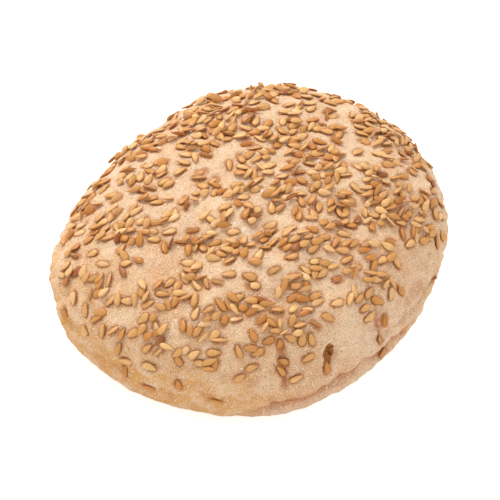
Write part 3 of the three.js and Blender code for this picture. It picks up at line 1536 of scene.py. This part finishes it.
    def dress(self, seeds: Placements, material: bpy.types.Material) -> bpy.types.Object:
        """Lay the seeds as one piece.

        Args:
            seeds: where they lie.
            material: their finish.

        Returns:
            The piece.
        """
        templates = bpy.data.collections.new("seed_forms")
        for form in self.forms:
            templates.objects.link(form.build())
        mesh = bpy.data.meshes.new("seed_places")
        mesh.from_pydata(seeds.place.tolist(), [], [])
        write_values(mesh, "facing", seeds.facing, "FLOAT_VECTOR")
        write_values(mesh, "heading", seeds.heading, "FLOAT_VECTOR")
        write_values(mesh, "kind", seeds.kind.astype(np.int32), "INT")
        write_values(mesh, "size", seeds.size)
        write_values(mesh, "toast", seeds.toast)
        write_values(mesh, "haze", seeds.haze)
        holder = new_object("seed_places", mesh)
        layer = holder.modifiers.new("sesame", "NODES")
        layer.node_group = self._tree()
        values = {"Seeds": templates, "Size": 1.0, "Finish": material}
        for item in layer.node_group.interface.items_tree:
            if item.name in values:
                layer[item.identifier] = values[item.name]
        made = evaluated_mesh(holder)
        bpy.data.objects.remove(holder)
        for template in list(templates.objects):
            bpy.data.objects.remove(template)
        bpy.data.collections.remove(templates)
        piece = new_object("sesame_topping", made)
        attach(piece, BODY)
        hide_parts(*[name for name in frame["nodes"] if name.startswith("sesame_seed")])
        LOG.info("sesame_topping: %d seeds, %d faces", len(seeds.place), len(made.polygons))
        return piece

    @staticmethod
    def _tree() -> bpy.types.NodeTree:
        """Make the node tree that lays a seed on each point.

        Returns:
            The tree.
        """
        tree = bpy.data.node_groups.new("sesame_layer", "GeometryNodeTree")
        face = tree.interface
        face.new_socket("Geometry", in_out="INPUT", socket_type="NodeSocketGeometry")
        face.new_socket("Seeds", in_out="INPUT", socket_type="NodeSocketCollection")
        face.new_socket("Size", in_out="INPUT", socket_type="NodeSocketFloat")
        face.new_socket("Finish", in_out="INPUT", socket_type="NodeSocketMaterial")
        face.new_socket("Geometry", in_out="OUTPUT", socket_type="NodeSocketGeometry")
        wires = Wiring(tree)
        given = wires.add("NodeGroupInput").outputs
        read = "GeometryNodeInputNamedAttribute"
        facing = wires.add(read, {"Name": "facing"}, data_type="FLOAT_VECTOR").outputs["Attribute"]
        heading = wires.add(read, {"Name": "heading"}, data_type="FLOAT_VECTOR").outputs["Attribute"]
        kind = wires.add(read, {"Name": "kind"}, data_type="INT").outputs["Attribute"]
        size = wires.add(read, {"Name": "size"}, data_type="FLOAT").outputs["Attribute"]
        upright = wires.add("FunctionNodeAlignRotationToVector", {"Vector": facing}, axis="Z")
        turned = wires.add(
            "FunctionNodeAlignRotationToVector",
            {"Rotation": upright.outputs[0], "Vector": heading},
            axis="Y",
            pivot_axis="Z",
        )
        forms = wires.add("GeometryNodeCollectionInfo", {"Collection": given["Seeds"]})
        forms.inputs["Separate Children"].default_value = True
        forms.inputs["Reset Children"].default_value = True
        laid = wires.add(
            "GeometryNodeInstanceOnPoints",
            {
                "Points": given["Geometry"],
                "Instance": forms.outputs[0],
                "Pick Instance": True,
                "Instance Index": kind,
                "Rotation": turned.outputs[0],
                "Scale": wires.math("MULTIPLY", size, given["Size"]),
            },
        )
        real = wires.add("GeometryNodeRealizeInstances", {"Geometry": laid.outputs[0]})
        painted = wires.add(
            "GeometryNodeSetMaterial",
            {"Geometry": real.outputs[0], "Material": given["Finish"]},
        )
        wires.add("NodeGroupOutput", {"Geometry": painted.outputs[0]})
        return tree


# ---------------------------------------------------------------- studio


@dataclass(frozen=True)
class Lamp:
    """A soft square light: how far it is to the camera's right, away from it and up, its side and power."""

    name: str
    right: float
    away: float
    up: float
    size: float
    power: float


@dataclass(frozen=True)
class Studio:
    """A plain pale floor, soft light and the camera."""

    azimuth: float = -42.9
    elevation: float = 50.0
    distance: float = 0.701
    lens: float = 201.6
    aim: tuple[float, float, float] = (0.0, 0.0, 15 * MM)
    aim_right: float = -1.4 * MM
    aim_up: float = -1.33 * MM
    floor_size: float = 6.0
    floor_drop: float = 0.05 * MM
    floor_glow: float = 0.6
    surround: float = 0.885
    backdrop: float = 1.05
    warm: tuple[float, float, float] = (1.0, 0.962, 0.89)
    lamps: Sequence[Lamp] = (
        Lamp("key", right=-0.3, away=0.5, up=0.8, size=0.4, power=5.6),
        Lamp("fill", right=0.5, away=-0.7, up=0.4, size=0.6, power=0.5),
    )

    def build(self) -> None:
        """Make the camera, the floor and the lights."""
        self._camera()
        self._floor()
        self._lights()
        bpy.context.scene.view_settings.view_transform = "Standard"

    def _directions(self) -> tuple[Vector, Vector, Vector]:
        """Work out which way the camera faces.

        Returns:
            Its right, up and backward directions.
        """
        a, e = math.radians(self.azimuth), math.radians(self.elevation)
        back = Vector((math.sin(a) * math.cos(e), -math.cos(a) * math.cos(e), math.sin(e)))
        right = Vector((math.cos(a), math.sin(a), 0))
        return right, back.cross(right), back

    def _camera(self) -> None:
        """Place the camera, looking down at the roll."""
        right, up, back = self._directions()
        lens = bpy.data.cameras.new("camera")
        lens.lens = self.lens
        lens.sensor_width = 36
        lens.clip_start = 0.01
        camera = bpy.data.objects.new("camera", lens)
        bpy.context.scene.collection.objects.link(camera)
        target = Vector(self.aim) + right * self.aim_right + up * self.aim_up
        camera.location = target + back * self.distance
        camera.rotation_euler = back.to_track_quat("Z", "Y").to_euler()
        bpy.context.scene.camera = camera

    def _floor(self) -> None:
        """Lay a pale matt floor that the roll stands on."""
        material, wires, paint = new_material("pale_floor")
        pale, white = (0.97, 0.97, 0.97, 1), (1, 1, 1, 1)
        set_values(
            paint,
            {"Base Color": pale, "Roughness": 0.9, "Emission Color": white, "Specular IOR Level": 0.1},
        )
        seen = wires.add("ShaderNodeLightPath").outputs["Is Camera Ray"]
        wires.feed(paint.inputs["Emission Strength"], wires.math("MULTIPLY", seen, self.floor_glow))
        half = self.floor_size / 2
        mesh = bpy.data.meshes.new("floor")
        corners = [(-half, -half, 0), (half, -half, 0), (half, half, 0), (-half, half, 0)]
        mesh.from_pydata(corners, [], [(0, 1, 2, 3)])
        mesh.materials.append(material)
        floor = new_object("floor", mesh)
        floor.location.z = -self.floor_drop

    def _lights(self) -> None:
        """Light the roll with a bright even surround and the lamps."""
        world = bpy.data.worlds.new("surround")
        world.use_nodes = True
        wires = Wiring(world.node_tree)
        seen = wires.add("ShaderNodeLightPath").outputs["Is Camera Ray"]
        surround = world.node_tree.nodes["Background"]
        wires.feed(surround.inputs["Color"], wires.mix(seen, (*self.warm, 1), (1, 1, 1, 1)))
        wires.feed(surround.inputs["Strength"], wires.ranged(seen, 0, 1, self.surround, self.backdrop))
        bpy.context.scene.world = world
        for lamp in self.lamps:
            self._hang(lamp)

    def _hang(self, lamp: Lamp) -> None:
        """Place one light and turn it towards the roll.

        Args:
            lamp: its place, size and power.
        """
        right, _, back = self._directions()
        away = Vector((-back.x, -back.y, 0)).normalized()
        light = bpy.data.lights.new(lamp.name, "AREA")
        light.size = lamp.size
        light.energy = lamp.power
        light.color = self.warm
        holder = bpy.data.objects.new(lamp.name, light)
        bpy.context.scene.collection.objects.link(holder)
        place = lamp.right * right + lamp.away * away + Vector((0, 0, lamp.up))
        holder.location = place
        holder.rotation_euler = place.to_track_quat("Z", "Y").to_euler()


# ---------------------------------------------------------------- main


def main() -> None:
    """Build the studio, the crust and the topping, in that order."""
    logging.basicConfig(level=logging.INFO)
    Studio().build()
    effects = SharedEffects()
    crust = Crust()
    crust.build()
    topping = Topping(crust)
    seeds = topping.place()
    crust.press(seeds)
    crust.dress(CrustFinish().build(effects))
    topping.dress(seeds, SesameFinish().build(effects))


if __name__ == "__main__":
    main()
